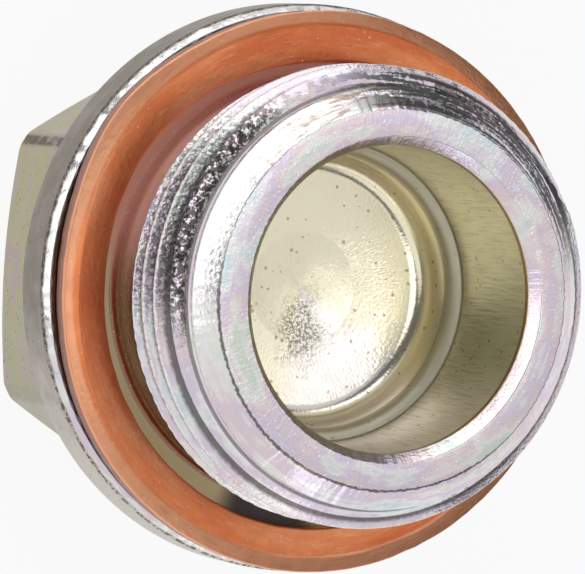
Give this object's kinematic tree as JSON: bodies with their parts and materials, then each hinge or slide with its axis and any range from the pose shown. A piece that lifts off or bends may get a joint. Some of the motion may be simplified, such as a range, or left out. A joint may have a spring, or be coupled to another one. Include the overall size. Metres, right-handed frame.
{
  "type": "oil drain plug",
  "caption": "Hexagon-head oil drain plug with a flange, a short fine thread, a hollow nose and a loose flat copper sealing washer.",
  "frame": {"origin": "centre of the head's end face, which the plug stands on", "axes": "+Z along the plug's axis, from the head to the nose; two flats of the hexagon face +X and -X"},
  "size_m": [0.03, 0.03, 0.0242],
  "materials": {
    "zinc_plated_steel": "bright zinc plate, passivated, with faint iridescent tints",
    "copper": "soft annealed copper, satin"
  },
  "bodies": {
    "root": {"plug": "zinc_plated_steel", "washer": "copper"}
  },
  "joints": []
}
